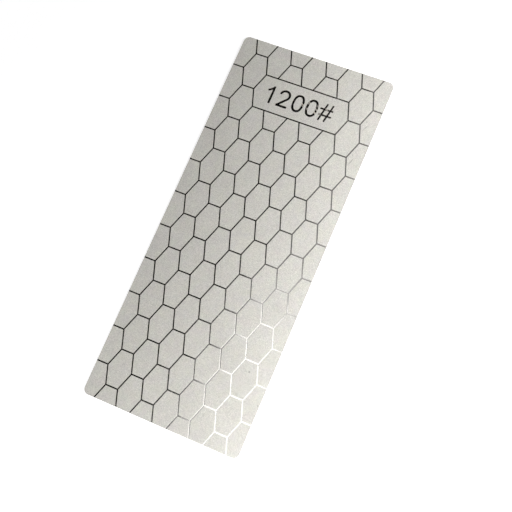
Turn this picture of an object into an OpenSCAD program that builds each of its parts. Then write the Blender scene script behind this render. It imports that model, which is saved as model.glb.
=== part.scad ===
// Diamond whetstone: a thin steel plate with honeycomb islands of plated abrasive.
// The plate lies flat on z = 0 with its length along Y, centred on the origin, abrasive face up.
// The grade panel is near the +Y end, which is the head. All sizes are in millimetres.

/* [Plate] */
// Width of the steel plate, along X
plate_w = 70; // [50:1:100]
// Length of the steel plate, along Y
plate_l = 170; // [110:1:220]
// Thickness of the bare steel
plate_t = 0.9; // [0.6:0.1:3]
// Radius of the four corners, seen from above
corner_r = 2.5; // [1:0.5:8]
// Chamfer that deburrs the rim of both faces
rim_chamfer = 0.1; // [0.05:0.05:0.25]

/* [Honeycomb] */
// Width of one cell between its side points, along X
cell_w = 11; // [8:0.5:14]
// Length of the flat ends of one cell, along X
cell_flat = 5.5; // [3:0.5:7]
// Height of one cell between its flat ends, along Y
cell_h = 15.67; // [10:0.01:20]
// Width of the bare steel lines between the abrasive islands
line_w = 0.6; // [0.2:0.05:1]
// Thickness of the plated abrasive
pad_t = 0.1; // [0.05:0.05:0.5]
// Bare strip between the chamfer of the rim and the abrasive
rim_gap = 0.05; // [0.05:0.05:0.5]
// How far the middle column of cells sits to the right of the plate's middle
pattern_x = 0.4; // [-2:0.1:2]
// Narrowest strip of a cell cut off by the rim that still gets abrasive
min_strip = 1; // [0.5:0.1:3]

/* [Grade panel] */
// Cells of the middle column between the panel and the head of the plate
panel_end_cells = 1; // [0:1:2]
// Cells that the panel joins side by side, an odd number
panel_cells = 3; // [1:2:5]

/* [Hidden] */
$fn = 96;

steel_colour = [0.60, 0.59, 0.56];
abrasive_colour = [0.78, 0.77, 0.74];

// The honeycomb counts columns j from the middle of the pattern and half-cell rows r from the
// middle of the plate. A cell stands where j and r are both even or both odd.
half_h = cell_h / 2;
slant_x = (cell_w - cell_flat) / 2;
column_pitch = cell_flat + slant_x;

// An island is its cell drawn in by half a line on every side.
half_line = line_w / 2;
pad_half_h = half_h - half_line;
pad_tip = cell_w / 2 - half_line * norm([slant_x, half_h]) / half_h;

// The abrasive field stays on the flat top, inside the chamfer of the rim.
field_inset = rim_chamfer + rim_gap;
field_w = plate_w - 2 * field_inset;
field_l = plate_l - 2 * field_inset;
field_r = corner_r - field_inset;

// The panel spans columns -panel_reach to panel_reach of one even row.
panel_reach = 2 * floor(panel_cells / 2);
panel_row = 2 * (floor(plate_l / 2 / cell_h) - panel_end_cells);

// Columns and rows whose cells show at least min_strip inside the field
column_limit = ceil(plate_w / column_pitch);
columns = [
    for (j = [-column_limit : column_limit])
        if (field_w / 2 - abs(column_x(j)) + pad_tip >= min_strip) j
];
last_row = floor((field_l / 2 - half_line - min_strip) / half_h) + 1;

// Rows that the end of the plate can cut, since a cell is two rows high
tail_rows = 2;

// Every island as its column and row, from the head to the tail
islands = [
    for (r = [last_row : -1 : -last_row], j = columns)
        if (abs(j - r) % 2 == 0 && !(r == panel_row && abs(j) <= panel_reach)) [j, r]
];
ISLAND_NODES = [for (i = [0 : len(islands) - 1]) if (first_in_node(i)) island_node(islands[i])];

function column_x(j) = pattern_x + j * column_pitch;

function numbered_row(number) = str("abrasive_row_", number < 10 ? "0" : "", number);

// Node of an island: round the panel, at the head above it, in the cut-off rows of the tail, or in a
// whole row. Whole rows are counted from the panel, so they keep their numbers when the plate grows.
function island_node(island) =
    let (j = island[0], r = island[1])
    abs(r - panel_row) <= 1 ? (j < 0 ? "panel_islands_left" : "panel_islands_right")
    : r > panel_row ? "head_islands"
    : r <= tail_rows - 1 - last_row ? "tail_islands"
    : numbered_row(panel_row - r - 1);

function first_in_node(i) =
    len([for (k = [0 : 1 : i - 1]) if (island_node(islands[k]) == island_node(islands[i])) k]) == 0;

// Half the width of an island at height y above its middle
function pad_x(y) = pad_tip - slant_x * abs(y) / half_h;

// Outline of an island between the heights low and high, with its middle stretched by reach each way
function pad_outline(low, high, reach = 0) =
    let (
        heights = low < 0 && high > 0 ? [low, 0, high] : [low, high],
        right = [for (y = heights) [reach + pad_x(y), y]],
        left = [for (i = [len(right) - 1 : -1 : 0]) [-right[i].x, right[i].y]]
    )
    concat(right, left);

// Cells above and below the panel, between its ends, lose the half that the panel covers.
function half_covered(j, r, side) = r == panel_row + side && abs(j) < panel_reach;

function island_outline(j, r) =
    pad_outline(
        half_covered(j, r, 1) ? half_line : -pad_half_h,
        half_covered(j, r, -1) ? -half_line : pad_half_h
    );

// Flat area inside the rim that the abrasive can cover
module abrasive_field() {
    square([field_w, field_l - 2 * field_r], center = true);
    square([field_w - 2 * field_r, field_l], center = true);
    for (x = [-1, 1], y = [-1, 1])
        translate([x * (field_w / 2 - field_r), y * (field_l / 2 - field_r)])
            circle(r = field_r);
}

// Abrasive plated on the steel in the given outlines, as far as the rim
module plated() {
    translate([0, 0, plate_t])
        linear_extrude(height = pad_t)
            intersection() {
                children();
                abrasive_field();
            }
}

// Section across a bar of the plate, with both long edges chamfered
module bar_section(width) {
    x = width / 2;
    c = rim_chamfer;
    polygon([
        [-x, c], [c - x, 0], [x - c, 0], [x, c],
        [x, plate_t - c], [x - c, plate_t], [c - x, plate_t], [-x, plate_t - c]
    ]);
}

// Quarter disc that rounds one corner of the plate, with the same chamfers
module corner_quarter() {
    c = rim_chamfer;
    rotate_extrude(angle = 90)
        polygon([
            [0, 0], [corner_r - c, 0], [corner_r, c],
            [corner_r, plate_t - c], [corner_r - c, plate_t], [0, plate_t]
        ]);
}

module steel_plate() {
    color(steel_colour) {
        rotate([90, 0, 0])
            linear_extrude(height = plate_l - 2 * corner_r, center = true)
                bar_section(plate_w);
        rotate([90, 0, 90])
            linear_extrude(height = plate_w - 2 * corner_r, center = true)
                bar_section(plate_l);
        for (x = [0, 1], y = [0, 1])
            mirror([x, 0, 0])
                mirror([0, y, 0])
                    translate([plate_w / 2 - corner_r, plate_l / 2 - corner_r, 0])
                        corner_quarter();
    }
}

module grade_panel() {
    color(abrasive_colour)
        plated()
            translate([pattern_x, panel_row * half_h])
                polygon(pad_outline(-pad_half_h, pad_half_h, panel_reach * column_pitch));
}

// The islands of one node, each a solid of its own
module island_group(name) {
    color(abrasive_colour)
        plated()
            for (island = islands)
                if (island_node(island) == name)
                    translate([column_x(island[0]), island[1] * half_h])
                        polygon(island_outline(island[0], island[1]));
}

steel_plate();
grade_panel();
for (name = ISLAND_NODES)
    island_group(name);
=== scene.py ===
"""Looks of the diamond whetstone: materials, the number cut in the grade panel, floor, light and camera.

Everything is in metres in the part's own frame. The plate lies on z = 0, its length along Y, with its
abrasive face up.
"""

import math

import bmesh
import bpy
from mathutils import Matrix, Vector


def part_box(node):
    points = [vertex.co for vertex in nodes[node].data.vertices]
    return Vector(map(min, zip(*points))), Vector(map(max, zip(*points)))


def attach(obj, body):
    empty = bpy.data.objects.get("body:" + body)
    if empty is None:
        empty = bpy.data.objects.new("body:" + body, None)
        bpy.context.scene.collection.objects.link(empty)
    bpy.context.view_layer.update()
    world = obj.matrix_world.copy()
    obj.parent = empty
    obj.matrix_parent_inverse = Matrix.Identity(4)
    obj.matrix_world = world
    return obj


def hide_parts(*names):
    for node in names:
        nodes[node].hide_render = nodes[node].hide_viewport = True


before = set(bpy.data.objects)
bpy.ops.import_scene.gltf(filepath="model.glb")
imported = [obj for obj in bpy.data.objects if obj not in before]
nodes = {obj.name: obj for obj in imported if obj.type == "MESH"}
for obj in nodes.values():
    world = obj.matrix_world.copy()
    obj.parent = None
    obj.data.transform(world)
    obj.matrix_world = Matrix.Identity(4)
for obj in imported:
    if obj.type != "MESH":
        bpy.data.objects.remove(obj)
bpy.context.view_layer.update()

MM = 0.001
PLATE_NODE = "steel_plate"
PANEL_NODE = "grade_panel"

_, plate_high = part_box(PLATE_NODE)
panel_low, panel_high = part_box(PANEL_NODE)
panel_size = panel_high - panel_low
panel_middle = (panel_low + panel_high) / 2
STEEL_TOP = plate_high.z
PAD_TOP = panel_high.z


# The honeycomb of bare lines, measured on the panel and on the two rows of islands next to it

# Columns of cells from the middle of the panel to the last one that it covers
PANEL_REACH = 2

_, near_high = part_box("abrasive_row_01")
next_low, next_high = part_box("abrasive_row_02")
next_size = next_high - next_low
HALF_CELL = near_high.y - next_high.y
HALF_LINE = HALF_CELL - next_size.y / 2
COLUMN_PITCH = (next_size.x - panel_size.x) / 2

# Angle between the slanted lines and Y, and the distance from the middle of a cell to its side points
upper_edge = [v.co.x for v in nodes[PANEL_NODE].data.vertices if v.co.y > panel_high.y - HALF_LINE]
LEAN = math.atan2(panel_high.x - max(upper_edge), panel_size.y / 2)
CELL_TIP = panel_size.x / 2 - PANEL_REACH * COLUMN_PITCH + HALF_LINE / math.cos(LEAN)


# Node graphs

# Range that a noise mostly keeps to
NOISE_LOW = 0.3
NOISE_HIGH = 0.7

# Share of a mark's half width at which it starts to fade, and a stretch that makes it alike at every height
SOFT_FROM = 0.5
FLATTEN = 1000.0

# Sockets of the Mix node that hold colours
MIX_COLOUR_A = 6
MIX_COLOUR_B = 7
MIX_COLOUR_RESULT = 2


class Graph:
    """A node tree whose nodes are added with their inputs, given as values or as sockets to link."""

    def __init__(self, tree):
        self.tree = tree
        tree.nodes.clear()

    def add(self, kind, inputs=None, **settings):
        node = self.tree.nodes.new(kind)
        for name, value in settings.items():
            setattr(node, name, value)
        for key, value in (inputs or {}).items():
            if isinstance(value, bpy.types.NodeSocket):
                self.tree.links.new(value, node.inputs[key])
            else:
                node.inputs[key].default_value = value
        return node

    def place(self):
        """The point being shaded, in the part's frame."""
        return self.add("ShaderNodeTexCoord").outputs["Object"]

    def split(self, vector):
        """The X, Y and Z of a vector."""
        return self.add("ShaderNodeSeparateXYZ", {"Vector": vector}).outputs

    def length(self, vector):
        return self.add("ShaderNodeVectorMath", {0: vector}, operation="LENGTH").outputs["Value"]

    def math(self, operation, a, b, clamp=False):
        return self.add("ShaderNodeMath", {0: a, 1: b}, operation=operation, use_clamp=clamp).outputs[0]

    def times(self, a, b):
        return self.math("MULTIPLY", a, b)

    def minus(self, a, b):
        return self.math("SUBTRACT", a, b)

    def between(self, value, low, high):
        """1 where the value lies between two limits, otherwise 0."""
        return self.times(self.math("GREATER_THAN", value, low), self.math("LESS_THAN", value, high))

    def largest(self, values):
        result = values[0]
        for value in values[1:]:
            result = self.math("MAXIMUM", result, value)
        return result

    def noise(self, vector, size, detail=2.0, roughness=0.5):
        """Noise from 0 to 1 with features of about the given size."""
        inputs = {"Vector": vector, "Scale": 1 / size, "Detail": detail, "Roughness": roughness}
        return self.add("ShaderNodeTexNoise", inputs).outputs["Fac"]

    def drawn_noise(self, vector, size, stretch, angle=0.0, detail=2.0):
        """Noise drawn out along a direction, given as an angle from Y, like brushing or scratches."""
        inputs = {"Vector": vector, "Rotation": (0, 0, angle), "Scale": (1, stretch, 1)}
        drawn = self.add("ShaderNodeMapping", inputs, vector_type="TEXTURE").outputs["Vector"]
        return self.noise(drawn, size, detail)

    def remap(self, value, low, high, to_low=0.0, to_high=1.0, smooth=False):
        """The value moved from one range to another, and kept inside that."""
        inputs = {"Value": value, "From Min": low, "From Max": high, "To Min": to_low, "To Max": to_high}
        kind = "SMOOTHSTEP" if smooth else "LINEAR"
        return self.add("ShaderNodeMapRange", inputs, interpolation_type=kind).outputs["Result"]

    def swing(self, noise, low, high):
        """A number that goes from low to high as a noise does."""
        return self.remap(noise, NOISE_LOW, NOISE_HIGH, low, high)

    def blend(self, factor, a, b):
        """Number between a and b."""
        inputs = {"Factor": factor, "A": a, "B": b}
        return self.add("ShaderNodeMix", inputs, data_type="FLOAT").outputs["Result"]

    def mix(self, factor, a, b):
        """Colour between a and b."""
        inputs = {"Factor": factor, MIX_COLOUR_A: a, MIX_COLOUR_B: b}
        return self.add("ShaderNodeMix", inputs, data_type="RGBA").outputs[MIX_COLOUR_RESULT]

    def vary(self, colour, noise, amount):
        """The colour made darker and lighter by up to the given share, as a noise goes."""
        inputs = {0: colour, "Scale": self.swing(noise, 1 - amount, 1 + amount)}
        return self.add("ShaderNodeVectorMath", inputs, operation="SCALE").outputs["Vector"]

    def spot(self, vector, centre, length, width, angle=0.0):
        """A soft oval mark, from 1 at its centre to 0 at its edge, with its length at an angle from X."""
        inputs = {
            "Vector": vector,
            "Location": (centre.x, centre.y, 0),
            "Rotation": (0, 0, angle),
            "Scale": (length / 2, width / 2, FLATTEN),
        }
        local = self.add("ShaderNodeMapping", inputs, vector_type="TEXTURE").outputs["Vector"]
        return self.remap(self.length(local), SOFT_FROM, 1.0, 1.0, 0.0, smooth=True)

    def bump(self, height, depth, strength=1.0, invert=False, over=None):
        """A normal that follows a height map of the given depth, over another normal if there is one."""
        inputs = {"Height": height, "Distance": depth, "Strength": strength}
        if over is not None:
            inputs["Normal"] = over
        return self.add("ShaderNodeBump", inputs, invert=invert).outputs["Normal"]

    def surface(self, inputs):
        """A principled surface with the given inputs, as the material's output."""
        shader = self.add("ShaderNodeBsdfPrincipled", inputs)
        self.add("ShaderNodeOutputMaterial", {"Surface": shader.outputs["BSDF"]})


def new_material(name):
    material = bpy.data.materials.new(name)
    material.use_nodes = True
    return material, Graph(material.node_tree)


# Marks of use on the abrasive face, made from places and sizes in millimetres

SCUFF_ANGLE = math.radians(-40)
SCUFF_STRIPE = 0.20 * MM
SCUFF_STRETCH = 20.0
STRIPE_LEVELS = (0.42, 0.54)
HAIR_WIDTH = 0.5 * MM


def at(x, y):
    return Vector((x, y)) * MM


def scuff(x, y, length, width):
    return at(x, y), length * MM, width * MM, SCUFF_ANGLE


def hair_scratch(x, y, length, degrees):
    return at(x, y), length * MM, HAIR_WIDTH, math.radians(degrees)


def speck(x, y, width, strength):
    return (at(x, y), width * MM, width * MM), strength


NUMBER_SCUFFS = [
    scuff(1.9, 62.5, 3.4, 1.4),
    scuff(4.1, 64.5, 2.6, 1.5),
    scuff(4.2, 61.6, 2.4, 1.0),
    scuff(8.1, 64.3, 2.2, 0.8),
    scuff(8.1, 62.7, 2.6, 1.0),
    scuff(7.8, 61.1, 2.6, 1.2),
    scuff(12.1, 63.9, 2.6, 1.4),
    scuff(9.8, 61.5, 2.4, 1.0),
]
PAD_SCUFFS = [scuff(26.4, -22.9, 9.0, 5.0)]
HAIR_SCRATCHES = [
    hair_scratch(30.5, 61.8, 4.6, 66),
    hair_scratch(30.5, 46.0, 4.4, 70),
]
DARK_SPECKS = [
    speck(25.83, -51.28, 0.9, 0.50),
    speck(24.65, -61.44, 1.5, 0.16),
    speck(15.51, -74.12, 1.7, 0.14),
    speck(34.40, -62.30, 1.0, 0.30),
    speck(-11.4, -65.5, 1.0, 0.25),
    speck(26.8, 20.4, 1.0, 0.25),
    speck(30.2, 64.7, 1.0, 0.24),
    speck(30.1, 48.9, 1.0, 0.20),
]


def scuffs(graph, place, marks):
    """Patches of fine parallel scratches at the given marks."""
    patches = graph.largest([graph.spot(place, *mark) for mark in marks])
    stripes = graph.drawn_noise(place, SCUFF_STRIPE, SCUFF_STRETCH, SCUFF_ANGLE + math.pi / 2)
    return graph.times(patches, graph.remap(stripes, *STRIPE_LEVELS))


# Bare steel

STEEL_GREY = (0.690, 0.676, 0.645, 1)
STEEL_PALE = (0.735, 0.722, 0.694, 1)
STEEL_SCRATCH = (0.78, 0.77, 0.745, 1)
RUBBED_STEEL = (0.66, 0.61, 0.52, 1)
RIM_DARK = (0.44, 0.43, 0.41, 1)
RIM_PALE = (0.54, 0.53, 0.51, 1)

# Heights between which the back turns into the rim, and the rim into the top
BACK_TO_RIM = (0.02 * MM, 0.08 * MM)
RIM_TO_TOP = (0.90 * STEEL_TOP, 0.98 * STEEL_TOP)

TOP_ROUGHNESS = (0.06, 0.08)
BACK_ROUGHNESS = (0.28, 0.42)
RIM_ROUGHNESS = 0.45
RUBBED_ROUGHNESS = 0.6
STEEL_SCRATCH_ANGLE = math.radians(35)
STEEL_SCRATCH_STRENGTH = 0.4
RESIDUE_STRENGTH = 0.3
BRUSHING_DEPTH = 0.01 * MM
BRUSHING_STRENGTH = 0.10
DISH_DEPTH = 0.0045 * MM


def line_dish(graph, place):
    """How far the steel is dished between the islands, from 1 in the middle of a line to 0 at its sides."""
    x, y, _ = graph.split(place)
    across = graph.math("PINGPONG", graph.minus(x, panel_middle.x), COLUMN_PITCH)
    along = graph.math("PINGPONG", y, HALF_CELL)
    leaning = graph.math("ADD", across, graph.times(along, math.tan(LEAN)))
    to_slant = graph.times(graph.minus(CELL_TIP, leaning), math.cos(LEAN))
    in_even_column = graph.math("GREATER_THAN", to_slant, 0.0)
    to_flat = graph.blend(in_even_column, along, graph.minus(HALF_CELL, along))
    to_line = graph.math("MINIMUM", to_flat, graph.math("ABSOLUTE", to_slant, 0.0))
    aside = graph.math("DIVIDE", to_line, HALF_LINE, clamp=True)
    dish = graph.minus(1.0, graph.math("POWER", aside, 2.0))

    reach = PANEL_REACH * COLUMN_PITCH
    within_reach = graph.between(x, panel_middle.x - reach, panel_middle.x + reach)
    on_panel = graph.times(within_reach, graph.between(y, panel_low.y, panel_high.y))
    return graph.blend(on_panel, dish, 0.0)


def bare_steel():
    """Rolled sheet: bright and slightly dished in the lines, brushed on the back, dull on the rim."""
    material, graph = new_material("sheet_steel")
    place = graph.place()
    height = graph.split(place)["Z"]
    top = graph.remap(height, *RIM_TO_TOP)
    back = graph.remap(height, *BACK_TO_RIM, 1.0, 0.0)
    rim = graph.minus(graph.minus(1.0, top), back)
    brushing = graph.drawn_noise(place, size=0.12 * MM, stretch=60.0, detail=3.0)
    cloud = graph.noise(place, size=14 * MM, detail=3.0)
    lines = graph.drawn_noise(place, size=0.5 * MM, stretch=40.0, angle=STEEL_SCRATCH_ANGLE)
    scratches = graph.remap(lines, low=0.66, high=0.70)
    shear = graph.remap(graph.noise(place, size=0.25 * MM, detail=3.0), low=0.35, high=0.65)
    dirt = graph.noise(place, size=0.9 * MM, detail=2.0)
    residue = graph.remap(dirt, low=0.58, high=0.72, to_high=RESIDUE_STRENGTH)
    rubbed = graph.math("MAXIMUM", residue, scuffs(graph, place, NUMBER_SCUFFS))

    colour = graph.mix(cloud, STEEL_GREY, STEEL_PALE)
    colour = graph.mix(graph.times(scratches, STEEL_SCRATCH_STRENGTH), colour, STEEL_SCRATCH)
    colour = graph.mix(rubbed, colour, RUBBED_STEEL)
    colour = graph.mix(rim, colour, graph.mix(shear, RIM_DARK, RIM_PALE))
    rough = graph.blend(top, graph.swing(brushing, *BACK_ROUGHNESS), graph.swing(cloud, *TOP_ROUGHNESS))
    rough = graph.blend(rim, rough, RIM_ROUGHNESS)
    rough = graph.blend(rubbed, rough, RUBBED_ROUGHNESS)
    normal = graph.bump(brushing, BRUSHING_DEPTH, BRUSHING_STRENGTH)
    dish = graph.times(line_dish(graph, place), top)
    normal = graph.bump(dish, DISH_DEPTH, invert=True, over=normal)
    graph.surface({"Base Color": colour, "Metallic": 1.0, "Roughness": rough, "Normal": normal})
    return material


# Abrasive

NICKEL = Vector((0.597, 0.582, 0.540))
GREENER = Vector((-0.0007, 0.0065, -0.0055))
WARMER = Vector((0.006, -0.0008, -0.004))
SCRATCHED_NICKEL = (0.68, 0.67, 0.64, 1)
POLISHED_NICKEL = (0.72, 0.71, 0.68, 1)
SCUFFED_NICKEL = (0.36, 0.35, 0.33, 1)
DARK_MARK = (0.10, 0.095, 0.09, 1)
# Colour of the islands' sides: painted shade down in the grooves, together with grime on them
PAD_SIDE_SHADE_AND_GRIME = (0.18, 0.15, 0.11, 1)

# Heights between which the sides of an island, darkened with painted shade and grime, turn into its top
SIDE_TO_TOP = (PAD_TOP - 0.03 * MM, PAD_TOP - 0.01 * MM)

# How much each noise changes the brightness
CLOUD_SWING = 0.025
CLUMP_SWING = 0.03
GRAIN_SWING = 0.10
GRIT_SWING = 0.48

NICKEL_SCRATCH_STRENGTH = 0.10
POLISH_STRENGTH = 0.35
SCUFF_STRENGTH = 0.20
HAIR_STRENGTH = 0.42
GRIT_ROUGHNESS = (0.72, 0.62)
GRIT_DEPTH = 0.03 * MM
GRIT_STRENGTH = 0.35
NICKEL_METALLIC = 0.15
NICKEL_SPECULAR = 0.25


def nickel_tint(green, warm):
    """The nickel's colour, shifted towards green and towards warm by factors from -1 to 1."""
    return (*(NICKEL + green * GREENER + warm * WARMER), 1)


def diamond_nickel():
    """Matte nickel full of fine grit: grainy, slightly mottled, with a few specks and hair scratches."""
    material, graph = new_material("gritty_nickel")
    place = graph.place()
    # Mask of the islands' sides, which get painted shade and grime
    sides = graph.remap(graph.split(place)["Z"], *SIDE_TO_TOP, 1.0, 0.0)
    grit = graph.noise(place, size=0.16 * MM, detail=4.0, roughness=0.75)
    grain = graph.noise(place, size=0.55 * MM, detail=2.0, roughness=0.6)
    clumps = graph.noise(place, size=1.6 * MM, detail=3.0, roughness=0.6)
    cloud = graph.noise(place, size=14 * MM, detail=3.0)
    green = graph.remap(graph.noise(place, size=3.5 * MM, detail=3.0), low=0.35, high=0.65)
    warm_patches = graph.noise(place, size=5.3 * MM, detail=5.0, roughness=0.8)
    warmth = graph.remap(warm_patches, low=0.36, high=0.64)
    lines = graph.drawn_noise(place, size=0.35 * MM, stretch=40.0, angle=SCUFF_ANGLE)
    scratches = graph.remap(lines, low=0.70, high=0.74)
    scuffed = scuffs(graph, place, PAD_SCUFFS)
    polished = scuffs(graph, place, NUMBER_SCUFFS)
    hairs = graph.largest([graph.spot(place, *mark) for mark in HAIR_SCRATCHES])
    specks = graph.largest([
        graph.times(graph.spot(place, *mark), strength) for mark, strength in DARK_SPECKS
    ])

    cool_side = graph.mix(green, nickel_tint(-1, -1), nickel_tint(1, -1))
    warm_side = graph.mix(green, nickel_tint(-1, 1), nickel_tint(1, 1))
    colour = graph.mix(warmth, cool_side, warm_side)
    colour = graph.vary(colour, cloud, CLOUD_SWING)
    colour = graph.vary(colour, clumps, CLUMP_SWING)
    colour = graph.vary(colour, grain, GRAIN_SWING)
    colour = graph.vary(colour, grit, GRIT_SWING)
    colour = graph.mix(graph.times(scratches, NICKEL_SCRATCH_STRENGTH), colour, SCRATCHED_NICKEL)
    colour = graph.mix(graph.times(polished, POLISH_STRENGTH), colour, POLISHED_NICKEL)
    colour = graph.mix(graph.times(scuffed, SCUFF_STRENGTH), colour, SCUFFED_NICKEL)
    colour = graph.mix(graph.times(hairs, HAIR_STRENGTH), colour, DARK_MARK)
    colour = graph.mix(specks, colour, DARK_MARK)
    # Painted shade, with some grime, darkens the sides of the islands in the grooves
    colour = graph.mix(sides, colour, PAD_SIDE_SHADE_AND_GRIME)
    graph.surface({
        "Base Color": colour,
        "Metallic": NICKEL_METALLIC,
        "Roughness": graph.swing(grit, *GRIT_ROUGHNESS),
        "Specular IOR Level": NICKEL_SPECULAR,
        "Normal": graph.bump(grit, GRIT_DEPTH, GRIT_STRENGTH),
    })
    return material


# Number of the grade, cut through the panel's abrasive to the steel, with its paths in millimetres

CAP_HEIGHT = 8.2
STROKE = 1.02
FLAG_STROKE = 0.9 * STROKE
HASH_STROKE = 0.82
ZERO_HALF_WIDTH = 2.1
ZERO_FULLNESS = 2.35
BOWL_RADII = (2.08, 2.02)
CURVE_STEPS = 40

# Distance that the cutter runs past both faces of the panel, and that joins doubled points
CUT_OVER = 0.05 * MM
SAME_POINT = 0.001 * MM


def line(*points):
    return [Vector(p) for p in points]


def arc(centre, radii, start, stop):
    """Points along part of an ellipse, from one angle to another in degrees."""
    angles = [math.radians(start + (stop - start) * i / CURVE_STEPS) for i in range(CURVE_STEPS + 1)]
    return line(*[(centre[0] + radii[0] * math.cos(a), centre[1] + radii[1] * math.sin(a)) for a in angles])


def squared_oval(radii, power):
    """Points round an oval that is fuller than an ellipse at its corners."""
    points = []
    for i in range(2 * CURVE_STEPS):
        angle = math.pi * i / CURVE_STEPS
        c, s = math.cos(angle), math.sin(angle)
        x = math.copysign(abs(c) ** (2 / power), c) * radii[0]
        y = math.copysign(abs(s) ** (2 / power), s) * radii[1]
        points.append((x, y))
    return line(*points)


def stroke(path, width, closed=False):
    """Left and right sides of a band of the given width along a path, in metres."""
    sides = []
    last = len(path) - 1
    for i, point in enumerate(path):
        before = path[i - 1] if closed or i > 0 else point
        after = path[(i + 1) % len(path)] if closed or i < last else point
        way = (after - before).normalized()
        across = Vector((-way.y, way.x)) * width / 2
        sides.append(((point + across) * MM, (point - across) * MM))
    return sides


def number_strokes():
    """Every stroke of the number: its glyph's middle across the panel, its band and whether it closes."""
    half = CAP_HEIGHT / 2
    edge = STROKE / 2
    foot = edge - half
    bowl_middle = (-0.05, half - edge - BOWL_RADII[1])
    one = [
        stroke(line((0, -half), (0, half)), STROKE),
        stroke(line((-2.3, half - 2.45), (-1.0, half - 1.6), (0.3, half - 0.2)), FLAG_STROKE),
    ]
    two = [
        stroke(arc(bowl_middle, BOWL_RADII, 178, -42) + line((-2.0, foot + 0.1)), STROKE),
        stroke(line((-2.55, foot), (2.5, foot)), STROKE),
    ]
    zero = [stroke(squared_oval((ZERO_HALF_WIDTH, half - edge), ZERO_FULLNESS), STROKE, closed=True)]
    bars = [
        stroke(line((-2.1, -half), (-0.45, half)), HASH_STROKE),
        stroke(line((0.5, -half), (2.15, half)), HASH_STROKE),
        stroke(line((-3.0, 1.4), (2.9, 1.4)), HASH_STROKE),
        stroke(line((-2.9, -1.35), (3.0, -1.35)), HASH_STROKE),
    ]
    glyphs = [(-13.35, one), (-7.6, two), (-1.0, zero), (5.4, zero), (11.8, bars)]
    return [(middle * MM, band, bands is zero) for middle, bands in glyphs for band in bands]


def add_band(mesh, band, offset, low, high, closed):
    """A solid band between two heights, as one closed part of the mesh."""
    rings = []
    for left, right in band:
        corners = ((left, low), (right, low), (right, high), (left, high))
        rings.append([mesh.verts.new((p.x + offset.x, p.y + offset.y, z)) for p, z in corners])
    count = len(rings)
    for i in range(count if closed else count - 1):
        a, b = rings[i], rings[(i + 1) % count]
        for k in range(len(a)):
            beside = (k + 1) % len(a)
            mesh.faces.new((a[k], a[beside], b[beside], b[k]))
    if not closed:
        mesh.faces.new(rings[0][::-1])
        mesh.faces.new(rings[-1])


def new_object(name, mesh):
    data = bpy.data.meshes.new(name)
    bmesh.ops.recalc_face_normals(mesh, faces=mesh.faces)
    mesh.to_mesh(data)
    mesh.free()
    made = bpy.data.objects.new(name, data)
    bpy.context.scene.collection.objects.link(made)
    return made


def numbered_panel(material):
    """The grade panel's own solid with the number cut right through it."""
    mesh = bmesh.new()
    mesh.from_mesh(nodes[PANEL_NODE].data)
    bmesh.ops.remove_doubles(mesh, verts=mesh.verts, dist=SAME_POINT)
    panel = new_object("numbered_panel", mesh)
    panel.data.materials.append(material)

    cutter_mesh = bmesh.new()
    for middle, band, closed in number_strokes():
        offset = Vector((panel_middle.x + middle, panel_middle.y))
        add_band(cutter_mesh, band, offset, STEEL_TOP - CUT_OVER, PAD_TOP + CUT_OVER, closed)
    cutter = new_object("number_cutter", cutter_mesh)

    cut = panel.modifiers.new("number", "BOOLEAN")
    cut.operation = "DIFFERENCE"
    cut.solver = "EXACT"
    cut.use_self = True
    cut.object = cutter
    bpy.context.view_layer.update()
    shaped = panel.evaluated_get(bpy.context.evaluated_depsgraph_get())
    result = bpy.data.meshes.new_from_object(shaped)
    panel.modifiers.clear()
    panel.data = result
    bpy.data.objects.remove(cutter)
    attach(panel, "root")
    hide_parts(PANEL_NODE)


# Floor and surroundings

FLOOR_SIZE = 20.0
FLOOR_GREYS = (0.88, 0.92)
FLOOR_CLOUD = 0.4

# How much the floor glows near the part and far from it, and the distances where these levels end and start
NEAR_GLOW = 0.53
FAR_GLOW = 0.92
NEAR_DISTANCE = 0.10
FAR_DISTANCE = 0.40

# Light from the walls on matte surfaces, and how steeply up a direction goes where walls turn into ceiling
WALL_LEVEL = 0.175
WALL_TO_CEILING = (0.35, 0.85)

# Levels of the ceiling, and where across the room it turns from dark to lit, along a border that slants
DARK_CEILING = 0.006
LIT_CEILING = 0.62
DARK_TO_LIT = (-0.268, -0.183)
BORDER_SLANT = 0.18


def grey(value):
    return (value, value, value, 1)


def seen_directly(graph):
    """1 for what is seen, straight or by reflection, and 0 for light on its way to a matte surface."""
    path = graph.add("ShaderNodeLightPath").outputs
    either = graph.math("ADD", path["Is Camera Ray"], path["Is Glossy Ray"], clamp=True)
    return graph.math("ADD", either, path["Is Transmission Ray"], clamp=True)


def white_floor():
    """A floor that is white to the horizon, with a softer glow round the part so that its shadow shows."""
    material, graph = new_material("white_floor")
    place = graph.place()
    dark, pale = FLOOR_GREYS
    colour = graph.mix(graph.noise(place, FLOOR_CLOUD), grey(dark), grey(pale))
    diffuse = graph.add("ShaderNodeBsdfDiffuse", {"Color": colour})
    away = graph.length(place)
    level = graph.remap(away, NEAR_DISTANCE, FAR_DISTANCE, NEAR_GLOW, FAR_GLOW, smooth=True)
    glow = graph.times(seen_directly(graph), level)
    emission = graph.add("ShaderNodeEmission", {"Color": grey(1.0), "Strength": glow})
    both = graph.add("ShaderNodeAddShader", {0: diffuse.outputs["BSDF"], 1: emission.outputs["Emission"]})
    graph.add("ShaderNodeOutputMaterial", {"Surface": both.outputs["Shader"]})

    mesh = bmesh.new()
    bmesh.ops.create_grid(mesh, x_segments=1, y_segments=1, size=FLOOR_SIZE / 2)
    floor = new_object("floor", mesh)
    floor.data.materials.append(material)


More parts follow.
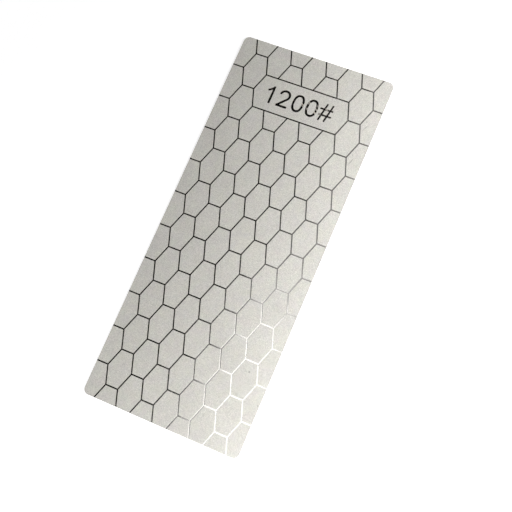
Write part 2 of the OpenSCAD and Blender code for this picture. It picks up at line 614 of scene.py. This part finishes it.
def studio_world():
    """White walls under a dark ceiling that is lit on the right."""
    world = bpy.data.worlds.new("studio")
    world.use_nodes = True
    graph = Graph(world.node_tree)
    x, y, z = graph.split(graph.add("ShaderNodeTexCoord").outputs["Generated"])
    walls = graph.blend(seen_directly(graph), WALL_LEVEL, 1.0)
    across = graph.minus(x, graph.times(y, BORDER_SLANT))
    ceiling = graph.remap(across, *DARK_TO_LIT, DARK_CEILING, LIT_CEILING, smooth=True)
    level = graph.blend(graph.remap(z, *WALL_TO_CEILING, smooth=True), walls, ceiling)
    backdrop = graph.add("ShaderNodeBackground", {"Color": grey(1.0), "Strength": level})
    graph.add("ShaderNodeOutputWorld", {"Surface": backdrop.outputs["Background"]})
    bpy.context.scene.world = world


# Lamps

LAMP_HEIGHT = 0.42
CEILING_LAMP_PLACE = (-0.060, -0.073, LAMP_HEIGHT)


def softbox(name, place, width, length, radiance, shape="RECTANGLE"):
    """A lamp of the given size, surface brightness and shape that faces straight down."""
    lamp = bpy.data.lights.new(name, "AREA")
    lamp.shape = shape
    lamp.size = width
    lamp.size_y = length
    area = width * length * (math.pi / 4 if shape == "ELLIPSE" else 1)
    lamp.energy = radiance * math.pi * area
    made = bpy.data.objects.new(name, lamp)
    made.location = place
    made.visible_camera = False
    bpy.context.scene.collection.objects.link(made)


def studio_lamps():
    """A long ceiling lamp with a dim glow round it, which the bare lines mirror, and three other lamps."""
    softbox("ceiling_lamp", CEILING_LAMP_PLACE, width=0.052, length=0.228, radiance=1.35, shape="ELLIPSE")
    softbox("ceiling_glow", CEILING_LAMP_PLACE, width=0.075, length=0.298, radiance=0.40, shape="ELLIPSE")
    softbox("overhead_softbox", (0.097, -0.082, LAMP_HEIGHT), width=0.25, length=0.20, radiance=1.20)
    softbox("right_strip_light", (0.12, 0.0, 0.09), width=0.08, length=0.50, radiance=4.9)
    softbox("tail_fill_light", (0.0, -0.22, 0.12), width=0.20, length=0.10, radiance=2.5)


# Camera where the photograph was taken from, found from the perspective of the honeycomb

CAMERA_AZIMUTH = math.radians(51.84)
CAMERA_ELEVATION = math.radians(72.91)
CAMERA_ROLL = math.radians(-29.54)
CAMERA_DISTANCE = 0.38896
CAMERA_AIM = Vector((9.28 * MM, -6.09 * MM, PAD_TOP))
FOCAL_PIXELS = 940.0
FRAME_PIXELS = 512.0
SENSOR_WIDTH = 36.0
NEAREST_SEEN = 0.01


def photo_camera():
    level_right = Vector((math.cos(CAMERA_AZIMUTH), math.sin(CAMERA_AZIMUTH), 0))
    level_out = Vector((math.sin(CAMERA_AZIMUTH), -math.cos(CAMERA_AZIMUTH), 0))
    out = level_out * math.cos(CAMERA_ELEVATION) + Vector((0, 0, math.sin(CAMERA_ELEVATION)))
    right = level_right * math.cos(CAMERA_ROLL) + out.cross(level_right) * math.sin(CAMERA_ROLL)
    turn = Matrix((right, out.cross(right), out)).transposed().to_4x4()

    data = bpy.data.cameras.new("photo_camera")
    data.sensor_width = SENSOR_WIDTH
    data.lens = FOCAL_PIXELS / FRAME_PIXELS * SENSOR_WIDTH
    data.clip_start = NEAREST_SEEN
    camera = bpy.data.objects.new("photo_camera", data)
    camera.matrix_world = Matrix.Translation(CAMERA_AIM + out * CAMERA_DISTANCE) @ turn
    bpy.context.scene.collection.objects.link(camera)
    bpy.context.scene.camera = camera


steel = bare_steel()
nickel = diamond_nickel()
for name, piece in nodes.items():
    piece.data.materials.clear()
    piece.data.materials.append(steel if name == PLATE_NODE else nickel)
numbered_panel(nickel)

white_floor()
studio_world()
studio_lamps()
photo_camera()
bpy.context.scene.view_settings.view_transform = "Standard"
